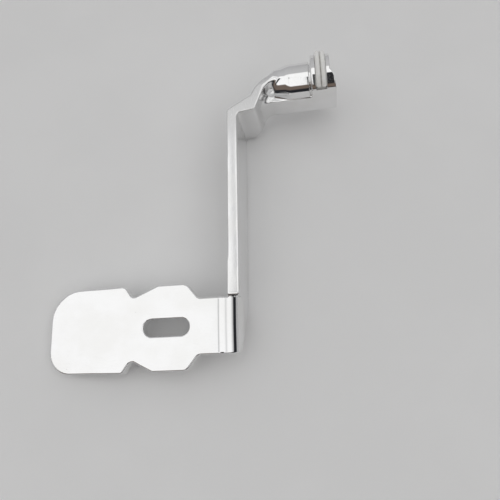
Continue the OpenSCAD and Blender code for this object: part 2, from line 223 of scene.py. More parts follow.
def rounded(points):
    """Closed outline through points (x, y, radius), as its sides and its arcs. A corner with a radius is an
    arc that touches both its sides: the centre is radius / sin(half angle) from the corner."""
    stops, arcs = [], []
    count = len(points)
    for i, (x, y, r) in enumerate(points):
        here = np.array([x, y], float)
        if r == 0:
            stops.append((here, here))
            continue
        u = np.array(points[i - 1][:2]) - here
        v = np.array(points[(i + 1) % count][:2]) - here
        u, v = u / np.linalg.norm(u), v / np.linalg.norm(v)
        half = math.acos(np.clip(u @ v, -1, 1)) / 2
        centre = here + (u + v) / np.linalg.norm(u + v) * r / math.sin(half)
        run = r / math.tan(half)
        stops.append((here + u * run, here + v * run))
        arcs.append((*centre, r, *stops[-1][0], *stops[-1][1]))
    sides = [(*stops[i - 1][1], *stops[i][0]) for i in range(count)]
    return sides, arcs


def outline_distance(x, y, outline):
    """Distance from (x, y) to the nearest side or arc, negative inside. A point is inside where a ray to the
    right crosses the sides and chords an odd number of times, changed over between an arc and its chord."""
    sides, arcs = outline
    best = np.full(x.shape, np.inf)
    inside = np.zeros(x.shape, bool)

    def cross(ax, ay, bx, by):
        """Changes inside over where the ray to the right crosses the line from a to b."""
        if ay != by:
            over = (ay > y) != (by > y)
            np.logical_xor(inside, over & (x - ax < (y - ay) * ((bx - ax) / (by - ay))), out=inside)

    for ax, ay, bx, by in sides:
        ex, ey = bx - ax, by - ay
        length2 = ex * ex + ey * ey
        cross(ax, ay, bx, by)
        if length2 > 1e-12:
            px, py = x - ax, y - ay
            t = np.clip((px * ex + py * ey) / length2, 0, 1)
            np.minimum(best, (px - ex * t) ** 2 + (py - ey * t) ** 2, out=best)
    for cx, cy, r, ax, ay, bx, by in arcs:
        px, py = x - cx, y - cy
        ux, uy, vx, vy = ax - cx, ay - cy, bx - cx, by - cy
        side = math.copysign(1, ux * vy - uy * vx)
        reach = np.hypot(px, py)
        within = ((ux * py - uy * px) * side >= 0) & ((px * vy - py * vx) * side >= 0)
        best = np.where(within, np.minimum(best, (reach - r) ** 2), best)
        beyond = ((bx - ax) * (y - ay) - (by - ay) * (x - ax)) * side < 0
        cross(ax, ay, bx, by)
        inside ^= beyond & (reach < r)
    return np.where(inside, -1, 1) * np.sqrt(best)


def both(a, b, r):
    """Where two solids overlap, with the edge between them rounded to radius r."""
    return np.minimum(np.maximum(a, b), -r) + np.hypot(np.maximum(a + r, 0), np.maximum(b + r, 0))


def either(a, b, r):
    """Two solids joined, with a fillet of radius r in the corner between them."""
    return np.maximum(np.minimum(a, b), r) - np.hypot(np.maximum(r - a, 0), np.maximum(r - b, 0))


def smooth(value, low, high):
    """0 up to low and 1 from high, with a level start and end: 3 t squared less 2 t cubed."""
    t = np.clip((value - low) / (high - low), 0, 1)
    return t * t * (3 - 2 * t)


def block(x, y, z, low, high, r):
    """Box from low to high with edges rounded to r: the distance to a smaller box, less r."""
    q = [np.abs(c - (l + h) / 2) - (h - l) / 2 + r for c, l, h in zip((x, y, z), low, high)]
    outside = np.sqrt(sum(np.maximum(c, 0) ** 2 for c in q))
    return outside + np.minimum(np.maximum(np.maximum(q[0], q[1]), q[2]), 0) - r


def pad_outline():
    """Plan of the pad plate: toe, step and notch, middle part, neck, and the same on the front side."""
    toe, end, notch = PAD_W / 2, PAD_W / 2 - TOE_TAPER, NOTCH_W / 2
    middle, neck = MIDDLE_W / 2, NECK_W / 2
    rear_u = TOE_L + STEP_RUN
    front_u = rear_u - FRONT_SHIFT
    middle_u = TOE_L + MIDDLE_END_L
    points = [
        (0, end, TOE_REAR_R), (TOE_L, toe, CORNER_R), (rear_u, notch, CORNER_R),
        (rear_u + REAR_NOTCH_RUN, middle, CORNER_R), (middle_u, middle, MIDDLE_END_R),
        (middle_u + NECK_RUN, neck, CORNER_R), (PLATE_L, neck, 0), (PLATE_L, -neck, 0),
        (middle_u + NECK_RUN, -neck, CORNER_R), (middle_u, -middle, MIDDLE_END_R),
        (front_u + FRONT_NOTCH_RUN, -middle, CORNER_R), (front_u, -notch, CORNER_R),
        (TOE_L - FRONT_SHIFT, -toe, CORNER_R), (0, -end, TOE_FRONT_R),
    ]
    return rounded([(toe_x + u, pad_y + v, r) for u, v, r in points])


def arm_plan_outline():
    """Plan of the arm on edge and its double bend, from the neck's front edge to the barrel."""
    thick_y = neck_rear_y + THICK_L
    return rounded([
        (face_x(neck_front_y), neck_front_y, 0), (*first_corner, BEND_FILLET_R),
        (*second_corner, BEND_CORNER_R), (*inner_turn, BEND_FILLET_R), (*inner_end, 0),
        (*rear_tip, 0), (*rear_end, LEG_ROLL_R), (*rear_turn, LEG_ROLL_R),
        (*rear_bend, BEND_FILLET_R), (*rear_corner, BEND_CORNER_R),
        (face_x(thick_y) - ARM_T, thick_y + THIN_RUN, THIN_RUN),
        (face_x(thick_y) - PLATE_T, thick_y, THIN_RUN),
        (face_x(neck_rear_y) - PLATE_T, neck_rear_y, 0),
        (face_x(neck_rear_y) - PLATE_T, neck_front_y, 0),
    ])


def arm_side_outline():
    """Side view of the arm: level top that rolls down to the barrel, lower edge that deepens to the rear."""
    under = TOP_Z - BEND_R + 1
    slope_y = neck_front_y + (under - plate_z) / slope_rate
    return rounded([
        (neck_rear_y, TOP_Z, TOP_END_R), (neck_rear_y, under, 0),
        (slope_y, under, 0), (slope_end_y, arm_front_z, SLOPE_R),
        (-FIRST_BEND_Y, arm_rear_z, 0), (BARREL_R, arm_rear_z, 0),
        (BARREL_R, BARREL_R - LEG_FALL, 0), (-LEG_FALL_Y, TOP_Z, LEG_ROLL_R),
    ])


def bend_front_outline():
    """Front view of the double bend: its lower edge rises from the arm's to the front wall's."""
    low, high, side = arm_rear_z - OVERLAP, TOP_Z + 20, 400.0
    return rounded([
        (-side, high, 0), (-side, low, 0), (-SECOND_BEND_X - RISE_RUN, low, 0),
        (-SECOND_BEND_X, -LEG_DROP, RISE_BLEND_R), (wall_corner[0], -LEG_DROP, 0),
        (wall_corner[0] + 2 * WALL_FILLET_R, -WALL_DROP, 0), (side, -WALL_DROP, 0), (side, high, 0),
    ])


def neck_side_outline():
    """Side view of the neck: as wide as the neck, with the arm's sloped lower corner in front."""
    high = TOP_Z + PAST
    return rounded([
        (neck_front_y, high, 0), (neck_front_y, plate_z, 0), (slope_end_y, arm_front_z, 0),
        (neck_rear_y, arm_front_z, 0), (neck_rear_y, high, 0),
    ])


def hub_outline():
    """Half section of the barrel and collars along the pivot axis: (x, radius)."""
    relief_r = BARREL_R - RELIEF_DEPTH
    return rounded([
        (-SEAT_X, -PAST, 0), (-SEAT_X, BARREL_SEAT_R, HUB_EDGE_R),
        (-SEAT_X + TAPER_L, BARREL_R, TAPER_BLEND_R), (BARREL_END_X, BARREL_R, HUB_EDGE_R),
        (BARREL_END_X, relief_r, RELIEF_EDGE_R), (collar_x, relief_r, RELIEF_EDGE_R),
        (collar_x, COLLAR_R, COLLAR_EDGE_R), (groove_x, COLLAR_R, GROOVE_EDGE_R),
        (groove_x, groove_r, 0), (groove_end_x, groove_r, 0),
        (groove_end_x, COLLAR_R, GROOVE_EDGE_R), (hub_end_x, COLLAR_R, HUB_EDGE_R),
        (hub_end_x, -PAST, 0),
    ])


def wall_end_outline():
    """Plan of the front wall's inboard end, which spreads inboard from the inner collar."""
    inside = hub_end_x - OVERLAP
    return rounded([
        (inside, front_y, 0), (wall_end_x, front_y, 0),
        (wall_end_x - WALL_LEAN, front_y + WALL_T, WALL_END_R), (hub_end_x, -WALL_SPREAD, 0),
        (inside, -WALL_SPREAD, 0),
    ])


def bore_outline():
    """Half section of what is bored out of the hub: (x, radius), from the washer seat inboard."""
    chamber_r = hub_bore_r + CHAMBER_DEPTH
    far, near = -SEAT_X - 30, wall_end_x + PAST
    outer_end_x, inner_end_x = outer_bush_x + BUSH_L, inner_bush_x + BUSH_L
    stops = [
        (far, -PAST), (far, WASHER_SEAT_R), (-SEAT_X, WASHER_SEAT_R), (-SEAT_X, seal_pocket_r),
        (outer_bush_x, seal_pocket_r), (outer_bush_x, hub_bore_r), (outer_end_x, hub_bore_r),
        (outer_end_x, chamber_r), (inner_bush_x, chamber_r), (inner_bush_x, hub_bore_r),
        (inner_end_x, hub_bore_r), (inner_end_x, seal_pocket_r), (near, seal_pocket_r),
        (near, -PAST),
    ]
    return rounded([(x, r, 0) for x, r in stops])


PAD = pad_outline()
ARM_PLAN = arm_plan_outline()
ARM_SIDE = arm_side_outline()
BEND_FRONT = bend_front_outline()
NECK_SIDE = neck_side_outline()
HUB = hub_outline()
WALL_END = wall_end_outline()
BORE = bore_outline()


def pedal_distance(x, y, z):
    """Distance to the forged pedal's surface, negative inside: plate, bend, arm, hub, walls and rod eye
    joined with fillets, then slot, bore and rod hole taken out with rounded edges. The root carries the
    bend on into the arm's end, where the neck's own edge is rounded."""
    level = np.abs(z - TOP_Z + PLATE_T / 2) - PLATE_T / 2
    plate = both(outline_distance(x, y, PAD), level, PLATE_EDGE_R)

    middle_r = BEND_R - PLATE_T / 2
    from_bend = x - bend_x - np.maximum(y + REACH, 0) * math.tan(ARM_SPLAY)
    upright = np.abs(from_bend - middle_r) - PLATE_T / 2
    turned = np.abs(np.hypot(from_bend, z) - middle_r) - PLATE_T / 2
    sheet = np.where(z > 0, np.where(from_bend < 0, level, turned), upright)
    neck = both(sheet, outline_distance(y, z, NECK_SIDE), PLATE_EDGE_R)
    neck = np.maximum(neck, bend_x - NECK_REACH - x)
    root = np.maximum(np.abs(y - neck_rear_y) - ROOT_REACH, face_x(y) - PLATE_T - x)
    neck = np.minimum(neck, np.maximum(sheet, root))

    edge = ARM_EDGE_R + (LEG_EDGE_R - ARM_EDGE_R) * smooth(y, *LEG_EDGE_Y)
    arm = both(outline_distance(x, y, ARM_PLAN), outline_distance(y, z, ARM_SIDE), edge)

    radius = np.hypot(y, z)
    hub = both(outline_distance(x, radius, HUB), front_y - y, HUB_EDGE_R)
    low_wall = block(x, y, z, (wall_corner[0] - OVERLAP, front_y, -WALL_DROP),
                     (collar_x + OVERLAP, front_y + WALL_T, LOW_WALL_Z), HUB_EDGE_R)
    high_wall = block(x, y, z, (collar_x, front_y, -WALL_DROP),
                      (hub_end_x, front_y + WALL_T, wall_top_z), HUB_EDGE_R)
    wall_height = np.maximum(np.minimum(radius - COLLAR_R, z), -WALL_DROP - z)
    wall_end = both(outline_distance(x, y, WALL_END), wall_height, HUB_EDGE_R)
    hub = either(hub, low_wall, LEDGE_BLEND_R)
    hub = np.minimum(np.minimum(hub, high_wall), wall_end)

    body = either(np.minimum(np.minimum(plate, neck), arm), hub, LEG_BLEND_R)
    body = both(body, outline_distance(x, z, BEND_FRONT), ARM_EDGE_R)

    lobe = np.where(z < -ROD_DROP, np.hypot(y, z + ROD_DROP), np.abs(y)) - eye_r
    lobe = np.maximum(lobe, z - front_y - WALL_T)
    eye = both(lobe, np.abs(x - wall_end_x + EYE_T / 2) - EYE_T / 2, HUB_EDGE_R)
    body = np.maximum(either(body, eye, EYE_BLEND_R), x - wall_end_x)

    half_run = (SLOT_L - SLOT_W) / 2
    along = np.maximum(np.abs(x - toe_x - SLOT_U) - half_run, 0)
    slot = np.hypot(along, y - pad_y) - SLOT_W / 2
    body = both(body, -slot, SLOT_EDGE_R)
    body = both(body, -outline_distance(x, radius, BORE), BORE_EDGE_R)
    return both(body, ROD_HOLE_R - np.hypot(y, z + ROD_DROP), ROD_HOLE_EDGE_R)


def distance_and_normal(p, h=0.03):
    """Distance at points p, and unit normals from the four differences to the corners of a tetrahedron."""
    corners = np.array([[1, 1, 1], [1, -1, -1], [-1, 1, -1], [-1, -1, 1]]) * h
    samples = [pedal_distance(*(p + c).T) for c in corners]
    g = sum(s[:, None] * c for s, c in zip(samples, corners))
    return sum(samples) / 4, g / np.maximum(np.linalg.norm(g, axis=1, keepdims=True), 1e-12)


def spaced(*stretches):
    """Grid line positions: each stretch (start, end, step) is cut into even steps of about that length."""
    runs = [np.linspace(a, b, max(1, round((b - a) / step)) + 1)[:-1] for a, b, step in stretches]
    return np.concatenate([*runs, [stretches[-1][1]]])


def shell(axes):
    """Closed quad surface where the pedal's distance is zero, on grid lines that lie closer together where
    the shape is finer. Each cell that the surface crosses gets one vertex, at the mean of the crossings on
    its 12 edges, and each grid edge that it crosses gets a quad through the 4 cells round it. The vertices
    then move along their normals onto the surface itself. Blocks of cells that are further from the
    surface than their own half diagonal are only worked out at their middle."""
    size = 3
    shape = np.array([len(a) for a in axes])
    starts = [np.arange(0, n, size) for n in shape]
    ends = [np.minimum(s + size - 1, n - 1) for s, n in zip(starts, shape)]
    middles = [(a[s] + a[e]) / 2 for a, s, e in zip(axes, starts, ends)]
    halves = [(a[e] - a[s]) / 2 for a, s, e in zip(axes, starts, ends)]
    cx, cy, cz = [c.ravel() for c in np.meshgrid(*middles, indexing="ij")]
    hx, hy, hz = [c.ravel() for c in np.meshgrid(*halves, indexing="ij")]
    rough = pedal_distance(cx, cy, cz)
    near = np.abs(rough) < 1.45 * np.sqrt(hx * hx + hy * hy + hz * hz) + 0.2
    blocks = [len(s) for s in starts]
    value, close = rough.reshape(blocks), near.reshape(blocks)
    for k in range(3):
        value = np.take(np.repeat(value, size, axis=k), np.arange(shape[k]), axis=k)
        close = np.take(np.repeat(close, size, axis=k), np.arange(shape[k]), axis=k)
    at = np.argwhere(close)
    value[close] = pedal_distance(*[a[at[:, k]] for k, a in enumerate(axes)])

    inside = value < 0
    cells = shape - 1
    total, hits, crossings = np.zeros((cells.prod(), 3)), np.zeros(cells.prod()), []
    for k in range(3):
        lower, upper = [slice(None)] * 3, [slice(None)] * 3
        lower[k], upper[k] = slice(0, -1), slice(1, None)
        crossed = inside[tuple(lower)] != inside[tuple(upper)]
        where = np.argwhere(crossed)
        a, b = value[tuple(lower)][crossed], value[tuple(upper)][crossed]
        share = (a / (a - b))[:, None]
        first = np.stack([axes[m][where[:, m]] for m in range(3)], axis=1)
        second = first.copy()
        second[:, k] = axes[k][where[:, k] + 1]
        point = first + (second - first) * share
        m, n = [other for other in range(3) if other != k]
        ring = []
        for dm, dn in ((0, 0), (1, 0), (1, 1), (0, 1)):
            cell = where.copy()
            cell[:, m] -= dm
            cell[:, n] -= dn
            flat = np.ravel_multi_index(tuple(cell.T), tuple(cells))
            hits += np.bincount(flat, minlength=len(hits))
            for c in range(3):
                total[:, c] += np.bincount(flat, weights=point[:, c], minlength=len(hits))
            ring.append(flat)
        quad = np.stack(ring, axis=1)
        flip = inside[tuple(lower)][crossed] == (k == 1)
        quad[flip] = quad[flip][:, ::-1]
        crossings.append(quad)
    filled = hits > 0
    index = np.cumsum(filled) - 1
    vertices = total[filled] / hits[filled][:, None]
    quads = index[np.concatenate(crossings)]
    for _ in range(2):
        d, n = distance_and_normal(vertices)
        vertices -= n * np.clip(d, -1, 1)[:, None]
    return vertices, quads, distance_and_normal(vertices)[1]


def as_mesh(name, vertices, quads, normals=None):
    """Smooth mesh object in metres from arrays in millimetres, with its own normals where given."""
    mesh = bpy.data.meshes.new(name)
    mesh.from_pydata((vertices * MM).tolist(), [], quads.tolist())
    mesh.update()
    mesh.polygons.foreach_set("use_smooth", np.ones(len(mesh.polygons), bool))
    if normals is not None:
        mesh.normals_split_custom_set_from_vertices(normals.tolist())
    piece = bpy.data.objects.new(name, mesh)
    bpy.context.scene.collection.objects.link(piece)
    return piece


def add_mask(piece, name, values):
    """Stores one number per vertex for a material to read."""
    attribute = piece.data.attributes.new(name, "FLOAT", "POINT")
    attribute.data.foreach_set("value", np.asarray(values, np.float32))


# Grid of the forging: stretches (start, end, step), fine on the notches, bends and hub, coarse on flats
GRID_X = ((-242.6, -234, 0.7), (-234, -176, 1.3), (-176, -78, 0.92), (-78, -60, 0.7),
          (-60, -24, 0.85), (-24, 6, 0.95), (6, 33.6, 0.62))
GRID_Y = ((-273, -262, 0.75), (-262, -200, 1.05), (-200, -190, 0.75), (-190, -166, 1.5),
          (-166, -54, 7.0), (-54, 26, 0.8))
GRID_Z = ((-43.6, -22, 1.0), (-22, 8, 0.8), (8, 26, 0.55))

# Where the satin starts along the arm and ends on the leg, and where the polishing marks turn at the neck
SATIN_Y = (-52, -38)
SATIN_END_X = (-33, -21)
MARKS_TURN_X = (-79, -74)


def pedal_piece():
    """The chrome-plated forging. Its satin mask covers the double bend and the leg, which are less polished,
    and its along_arm mask is 1 where the polishing marks run along the arm and 0 where they run along the
    pad."""
    vertices, quads, normals = shell([spaced(*GRID_X), spaced(*GRID_Y), spaced(*GRID_Z)])
    piece = as_mesh("pedal_body", vertices, quads, normals)
    x, y = vertices[:, 0], vertices[:, 1]
    add_mask(piece, "satin", smooth(y, *SATIN_Y) * (1 - smooth(x, *SATIN_END_X)))
    add_mask(piece, "along_arm", smooth(x, *MARKS_TURN_X))
    return piece


# Ring: a rib's foot and middle as shares of its radius, the rounded tip, the valley, and the grid's steps
RIB_FOOT = 0.9
RIB_MIDDLE = 1.4
RING_TIP_L = 2.2
VALLEY_W = 0.7
RIB_STEPS = 15
RING_STEPS = 200
TIP_STEPS = 12
TIP_SKIP = 6


def ring_piece():
    """Open ring with two round ribs: their section is carried round the pivot axis, from the front end's
    angle over the top to the lower end's. Each rib shrinks to its own middle at the ends, as a quarter
    circle does, so its tips are round."""
    rib = RING_W / 4
    inner = groove_r + RING_GAP
    start = groove_x + RING_GAP
    t = np.linspace(0, math.pi, RIB_STEPS)
    section, middles = [], []
    for centre in (rib, RING_W - rib):
        side = rib if centre == rib else -rib
        foot = [start + centre - side * RIB_FOOT, inner]
        arc = np.stack([start + centre - rib * np.cos(t), RING_R - rib + rib * np.sin(t)], axis=1)
        section.append(np.vstack([[foot], arc]) if side > 0 else np.vstack([arc, [foot]]))
        middles.append(np.tile([start + centre, RING_R - RIB_MIDDLE * rib], (len(t) + 1, 1)))
    section, middles = np.concatenate(section), np.concatenate(middles)
    angle = np.linspace(-RING_FRONT_A, RING_REAR_A, RING_STEPS)
    tip = RING_TIP_L / RING_R
    ease = np.linspace(0, 1, TIP_STEPS)[1:] ** 2 * tip
    first, last, between = angle[0], angle[-1], angle[TIP_SKIP:-TIP_SKIP]
    angle = np.concatenate([[first], first + ease, between, last - ease[::-1], [last]])
    run = np.minimum(angle - angle[0], angle[-1] - angle) / tip
    share = np.sqrt(1 - (1 - np.clip(run, 0, 1)) ** 2)[:, None, None]
    xr = middles + (section - middles) * share
    x, r = xr[..., 0], xr[..., 1]
    valley = np.exp(-((x - start - RING_W / 2) / VALLEY_W) ** 2)
    vertices = np.stack([x, r * np.sin(angle)[:, None], r * np.cos(angle)[:, None]], axis=-1)
    rows, cols = x.shape
    i, j = np.meshgrid(np.arange(rows - 1), np.arange(cols), indexing="ij")
    k = (j + 1) % cols
    quads = np.stack([i * cols + j, (i + 1) * cols + j, (i + 1) * cols + k, i * cols + k], axis=-1)
    piece = as_mesh("ribbed_ring", vertices.reshape(-1, 3), quads.reshape(-1, 4))
    add_mask(piece, "valley", valley.ravel())
    return close_up(piece)


def close_up(piece):
    """Merges the points that fall together at a tip, fills what is left open and turns all faces outward."""
    made = bmesh.new()
    made.from_mesh(piece.data)
    bmesh.ops.remove_doubles(made, verts=made.verts, dist=0.02 * MM)
    bmesh.ops.holes_fill(made, edges=made.edges, sides=0)
    bmesh.ops.recalc_face_normals(made, faces=made.faces)
    made.to_mesh(piece.data)
    made.free()
    piece.data.polygons.foreach_set("use_smooth", np.ones(len(piece.data.polygons), bool))
    return piece


# Node trees: small helpers, then the effects that several finishes use


def put(tree, kind, inputs=None, **settings):
    """Adds a shader node. Inputs are numbers, colours or other nodes' outputs, by socket name or place."""
    node = tree.nodes.new("ShaderNode" + kind)
    for key, value in settings.items():
        setattr(node, key, value)
    for key, value in (inputs or {}).items():
        if isinstance(value, bpy.types.NodeSocket):
            tree.links.new(value, node.inputs[key])
        else:
            node.inputs[key].default_value = value
    return node


def calc(tree, operation, *values):
    """One step of arithmetic on numbers or outputs."""
    return put(tree, "Math", dict(enumerate(values)), operation=operation).outputs[0]


def product(tree, value, *others):
    """A value multiplied by each of the others in turn."""
    for other in others:
        value = calc(tree, "MULTIPLY", value, other)
    return value


def step_up(tree, value, low, high, bottom=0.0, top=1.0):
    """Smooth step of a value, from bottom at low to top at high."""
    sockets = {"Value": value, "From Min": low, "From Max": high, "To Min": bottom, "To Max": top}
    return put(tree, "MapRange", sockets, interpolation_type="SMOOTHSTEP").outputs["Result"]


def step_down(tree, value, low, high):
    """Smooth step of a value, from 1 at low to 0 at high."""
    return step_up(tree, value, low, high, 1.0, 0.0)


def blend(tree, share, a, b):
    """Colour a where the share is 0, b where it is 1."""
    a, b = [(*colour, 1) if isinstance(colour, tuple) else colour for colour in (a, b)]
    return put(tree, "Mix", {0: share, 6: a, 7: b}, data_type="RGBA").outputs[2]


def tint(tree, colour, mask, amount, other):
    """A colour with another one laid over it where the mask is, as strong as the amount."""
    return blend(tree, calc(tree, "MULTIPLY", mask, amount), colour, other)


def add_to(tree, value, mask, amount):
    """A value raised by the amount where the mask is 1."""
    return calc(tree, "MULTIPLY_ADD", mask, amount, value)


def new_group(name, inputs, outputs):
    """Empty node group with named number or vector sockets."""
    group = bpy.data.node_groups.new(name, "ShaderNodeTree")
    for socket, (kind, value) in inputs.items():
        made = group.interface.new_socket(name=socket, in_out="INPUT", socket_type="NodeSocket" + kind)
        if value is not None:
            made.default_value = value
    for socket in outputs:
        group.interface.new_socket(name=socket, in_out="OUTPUT", socket_type="NodeSocketFloat")
    return group, group.nodes.new("NodeGroupInput").outputs, group.nodes.new("NodeGroupOutput").inputs


def grain_group():
    """Even grain of a given size: a noise, with its height about zero and a mask from 0 to 1."""
    group, given, out = new_group(
        "surface_grain", {"Place": ("Vector", None), "Size": ("Float", 1.0)}, ("Height", "Mask"))
    scale = calc(group, "DIVIDE", 1.0, given["Size"])
    sockets = {"Vector": given["Place"], "Scale": scale, "Detail": 3.0, "Roughness": 0.55}
    noise = put(group, "TexNoise", sockets)
    group.links.new(calc(group, "SUBTRACT", noise.outputs["Fac"], 0.5), out["Height"])
    group.links.new(step_up(group, noise.outputs["Fac"], 0.35, 0.65), out["Mask"])
    return group


def marks_group():
    """Fine marks that run along one direction: a noise on places that are squeezed along it."""
    group, given, out = new_group(
        "polishing_marks", {"Place": ("Vector", None), "Squeeze": ("Vector", None), "Size": ("Float", 0.5)},
        ("Height", "Mask"))
    squeezed = put(group, "VectorMath", {0: given["Place"], 1: given["Squeeze"]}, operation="MULTIPLY")
    scale = calc(group, "DIVIDE", 1.0, given["Size"])
    sockets = {"Vector": squeezed.outputs[0], "Scale": scale, "Detail": 2.0, "Roughness": 0.6}
    noise = put(group, "TexNoise", sockets)
    group.links.new(calc(group, "SUBTRACT", noise.outputs["Fac"], 0.5), out["Height"])
    group.links.new(step_up(group, noise.outputs["Fac"], 0.52, 0.68), out["Mask"])
    return group


def specks_group():
    """Scattered small specks of dust and pits: the middles of some cells of a cell pattern."""
    group, given, out = new_group(
        "dust_specks", {"Place": ("Vector", None), "Spacing": ("Float", 6.0), "Size": ("Float", 0.3),
                        "Share": ("Float", 0.3)}, ("Mask",))
    scale = calc(group, "DIVIDE", 1.0, given["Spacing"])
    cells = put(group, "TexVoronoi", {"Vector": given["Place"], "Scale": scale})
    reach = calc(group, "MULTIPLY", cells.outputs["Distance"], given["Spacing"])
    dot = calc(group, "LESS_THAN", reach, given["Size"])
    pick = put(group, "SeparateColor", {0: cells.outputs["Color"]})
    chosen = calc(group, "LESS_THAN", pick.outputs[0], given["Share"])
    group.links.new(calc(group, "MULTIPLY", dot, chosen), out["Mask"])
    return group


GRAIN = grain_group()
MARKS = marks_group()
SPECKS = specks_group()


def use(tree, group, **values):
    """Places a group in a material with its own values."""
    node = tree.nodes.new("ShaderNodeGroup")
    node.node_tree = group
    for key, value in values.items():
        if isinstance(value, bpy.types.NodeSocket):
            tree.links.new(value, node.inputs[key])
        else:
            node.inputs[key].default_value = value
    return node.outputs


def new_finish(name, metallic=0.0):
    """Material with its shader, and places on the part in millimetres."""
    finish = bpy.data.materials.new(name)
    finish.use_nodes = True
    tree = finish.node_tree
    shader = tree.nodes["Principled BSDF"]
    shader.inputs["Metallic"].default_value = metallic
    coordinates = put(tree, "TexCoord")
    place = put(tree, "VectorMath", {0: coordinates.outputs["Object"], "Scale": 1 / MM}, operation="SCALE")
    return finish, tree, shader, place.outputs[0]


def raise_by(tree, shader, *heights):
    """Bump from the sum of heights, each (output, millimetres for a height of 1)."""
    total = 0.0
    for height, amount in heights:
        total = calc(tree, "MULTIPLY_ADD", height, amount, total)
    bump = put(tree, "Bump", {"Height": total, "Distance": MM})
    tree.links.new(bump.outputs["Normal"], shader.inputs["Normal"])


def mask_of(tree, name):
    """A mask stored on the mesh."""
    return put(tree, "Attribute", attribute_name=name).outputs["Fac"]


def chrome_finish():
    """Chrome plate over polished steel: slow waves of the polish, marks along each member, and a grainy
    satin on the double bend, with faint smudges and a few specks."""
    finish, tree, shader, place = new_finish("chrome_plate", 1.0)
    satin = mask_of(tree, "satin")
    along = mask_of(tree, "along_arm")
    waves = use(tree, GRAIN, Place=place, Size=11.0)
    smudge = use(tree, GRAIN, Place=place, Size=34.0)
    fine = use(tree, GRAIN, Place=place, Size=0.9)
    plate_marks = use(tree, MARKS, Place=place, Squeeze=(0.06, 1, 1), Size=0.5)
    arm_marks = use(tree, MARKS, Place=place, Squeeze=(1, 0.05, 1), Size=0.5)
    specks = use(tree, SPECKS, Place=place, Spacing=7.0, Size=0.28, Share=0.3)
    marks = put(tree, "Mix", {0: along, 2: plate_marks["Height"], 3: arm_marks["Height"]}).outputs[0]
    mark_mask = put(tree, "Mix", {0: along, 2: plate_marks["Mask"], 3: arm_marks["Mask"]}).outputs[0]

    colour = tint(tree, (0.89, 0.89, 0.895), smudge["Mask"], 0.5, (0.82, 0.815, 0.80))
    colour = tint(tree, colour, mark_mask, 0.3, (0.82, 0.82, 0.82))
    colour = tint(tree, colour, satin, 0.5, (0.78, 0.78, 0.775))
    colour = tint(tree, colour, specks["Mask"], 0.6, (0.30, 0.29, 0.28))
    tree.links.new(colour, shader.inputs["Base Color"])

    rough = add_to(tree, 0.04, smudge["Mask"], 0.02)
    rough = add_to(tree, rough, mark_mask, 0.03)
    rough = add_to(tree, rough, satin, 0.2)
    rough = add_to(tree, rough, specks["Mask"], 0.3)
    tree.links.new(rough, shader.inputs["Roughness"])
    grain = calc(tree, "MULTIPLY", fine["Height"], add_to(tree, 0.0003, satin, 0.03))
    raise_by(tree, shader, (waves["Height"], 0.006), (marks, 0.0001), (grain, 1.0))
    return finish


def nylon_finish():
    """Moulded natural nylon: slightly warm white, glossy ribs, and a duller, darker valley between them."""
    finish, tree, shader, place = new_finish("ring_nylon")
    fine = use(tree, GRAIN, Place=place, Size=0.7)
    cloud = use(tree, GRAIN, Place=place, Size=7.0)
    specks = use(tree, SPECKS, Place=place, Spacing=3.0, Size=0.2, Share=0.25)
    valley = mask_of(tree, "valley")
    # The valley between the ribs is made darker and duller, unevenly along the ring.
    valley_darkening = calc(tree, "MULTIPLY", valley, add_to(tree, 0.35, cloud["Mask"], 0.3))
    colour = blend(tree, cloud["Mask"], (0.94, 0.94, 0.925), (0.88, 0.875, 0.845))
    colour = blend(tree, valley_darkening, colour, (0.40, 0.39, 0.37))
    colour = tint(tree, colour, specks["Mask"], 0.5, (0.25, 0.24, 0.22))
    tree.links.new(colour, shader.inputs["Base Color"])
    rough = add_to(tree, 0.2, cloud["Mask"], 0.1)
    tree.links.new(add_to(tree, rough, valley_darkening, 0.4), shader.inputs["Roughness"])
    raise_by(tree, shader, (fine["Height"], 0.012), (cloud["Height"], 0.03))
    return finish


def bronze_finish():
    """Oiled bronze with turning marks round the bore."""
    finish, tree, shader, place = new_finish("bush_bronze", 1.0)
    turned = use(tree, MARKS, Place=place, Squeeze=(1, 0.02, 0.02), Size=0.35)
    stain = use(tree, GRAIN, Place=place, Size=4.0)
    colour = blend(tree, stain["Mask"], (0.62, 0.42, 0.20), (0.42, 0.26, 0.12))
    colour = tint(tree, colour, turned["Mask"], 0.4, (0.72, 0.52, 0.28))
    tree.links.new(colour, shader.inputs["Base Color"])
    tree.links.new(add_to(tree, 0.25, stain["Mask"], 0.15), shader.inputs["Roughness"])
    raise_by(tree, shader, (turned["Height"], 0.02), (stain["Height"], 0.02))
    return finish


def rubber_finish():
    """Greasy black sealing rubber with a fine grain and a little dust."""
    finish, tree, shader, place = new_finish("seal_rubber")
    fine = use(tree, GRAIN, Place=place, Size=0.4)
    cloud = use(tree, GRAIN, Place=place, Size=3.0)
    specks = use(tree, SPECKS, Place=place, Spacing=1.5, Size=0.12, Share=0.3)
    colour = blend(tree, cloud["Mask"], (0.012, 0.012, 0.013), (0.035, 0.034, 0.033))
    colour = tint(tree, colour, specks["Mask"], 0.5, (0.16, 0.15, 0.14))
    tree.links.new(colour, shader.inputs["Base Color"])
    tree.links.new(add_to(tree, 0.35, cloud["Mask"], 0.25), shader.inputs["Roughness"])
    raise_by(tree, shader, (fine["Height"], 0.02))
    return finish


def board_finish():
    """Plain pale matt board for the floor."""
    finish, tree, shader, place = new_finish("pale_board")
    fine = use(tree, GRAIN, Place=place, Size=1.2)
    cloud = use(tree, GRAIN, Place=place, Size=120.0)
    colour = blend(tree, cloud["Mask"], (0.85, 0.85, 0.85), (0.87, 0.87, 0.87))
    colour = tint(tree, colour, fine["Mask"], 0.12, (0.80, 0.80, 0.80))
    tree.links.new(colour, shader.inputs["Base Color"])
    shader.inputs["Roughness"].default_value = 0.8
    raise_by(tree, shader, (fine["Height"], 0.05))
    return finish


